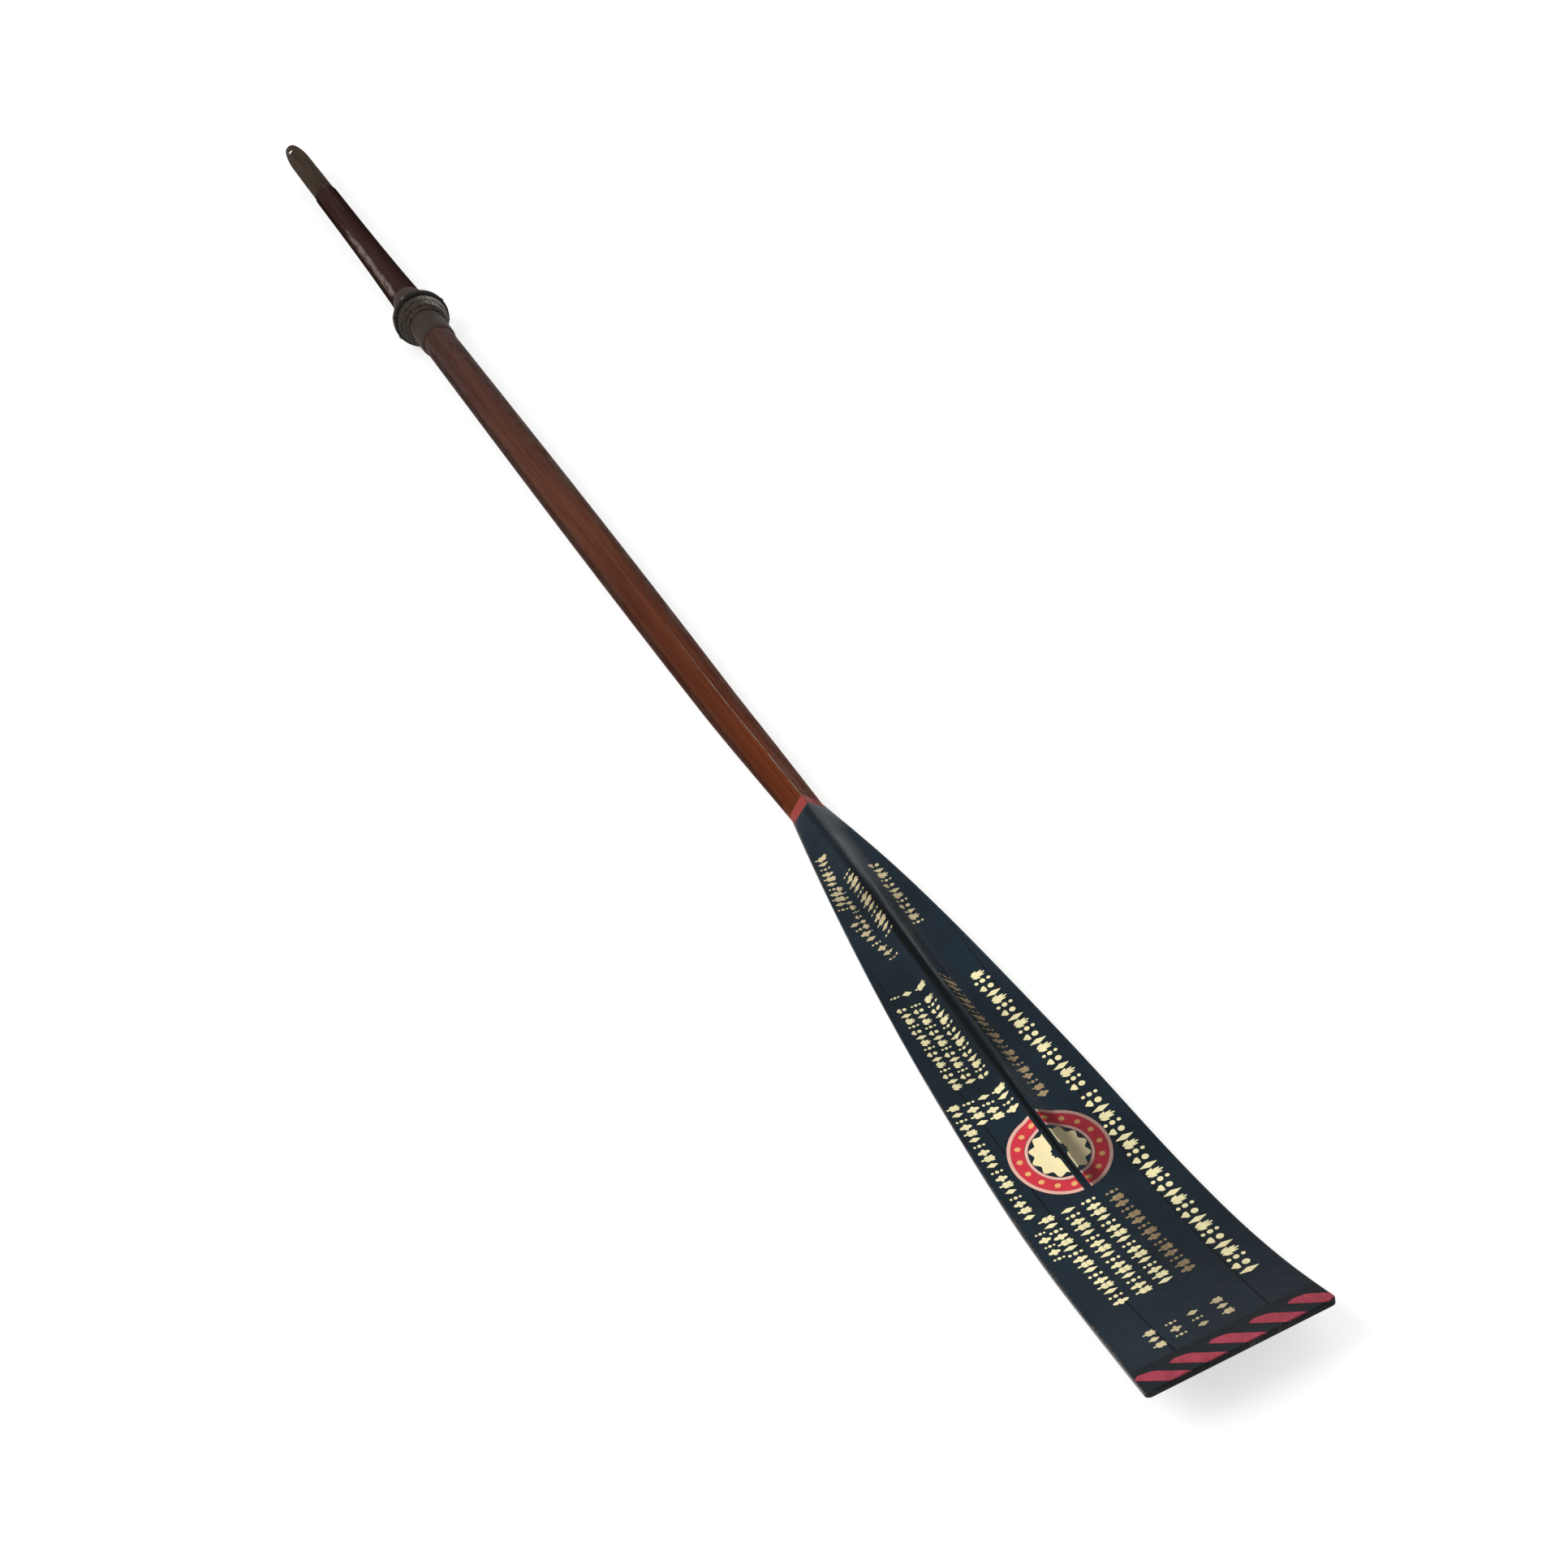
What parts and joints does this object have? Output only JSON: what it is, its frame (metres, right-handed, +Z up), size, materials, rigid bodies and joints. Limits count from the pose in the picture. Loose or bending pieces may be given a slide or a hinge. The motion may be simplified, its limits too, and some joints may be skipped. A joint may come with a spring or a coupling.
{
  "type": "rowing oar",
  "caption": "Wooden sweep rowing oar with a long round loom, a nailed leather button, a turned grip and a painted spooned blade with a spine ridge.",
  "frame": {"origin": "centre of the bounding box's bottom: on the ground, half way along the oar, in its middle plane", "axes": "+X runs along the oar from the blade to the grip, +Z is up, out of the blade's hollow face"},
  "size_m": [3.6986, 0.1554, 0.0923],
  "materials": {
    "varnished_spruce": "old red-brown varnish over spruce, with fine grain along the oar",
    "hardwood_strip": "dark varnished hardwood",
    "blade_paint": "glossy navy-black paint over wood, with gilt ornament and red stripes",
    "bare_grip_wood": "bare grey-brown wood, worn smooth",
    "pale_tack": "pale polished metal",
    "sleeve_leather": "dark greased leather",
    "button_leather": "dark leather, paler where it is rubbed",
    "copper_tacks": "dull copper"
  },
  "bodies": {
    "root": {"blade_left_inner_cheek": "blade_paint", "blade_left_outer_cheek": "blade_paint", "blade_right_inner_cheek": "blade_paint", "blade_right_outer_cheek": "blade_paint", "blade_tip_strip": "blade_paint", "button_layer_1": "button_leather", "button_layer_2": "button_leather", "button_layer_3": "button_leather", "button_layer_4": "button_leather", "button_nail_1": "copper_tacks", "button_nail_2": "copper_tacks", "button_nail_3": "copper_tacks", "button_nail_4": "copper_tacks", "button_nail_5": "copper_tacks", "button_nail_6": "copper_tacks", "button_nail_7": "copper_tacks", "button_nail_8": "copper_tacks", "grip": "bare_grip_wood", "grip_tack": "pale_tack", "leather_sleeve": "sleeve_leather", "loom_back_half": "varnished_spruce", "loom_back_strip": "hardwood_strip", "loom_face_half": "varnished_spruce", "sleeve_tack_1": "copper_tacks", "sleeve_tack_2": "copper_tacks", "sleeve_tack_3": "copper_tacks", "sleeve_tack_4": "copper_tacks", "sleeve_tack_5": "copper_tacks", "sleeve_tack_6": "copper_tacks"}
  },
  "joints": []
}
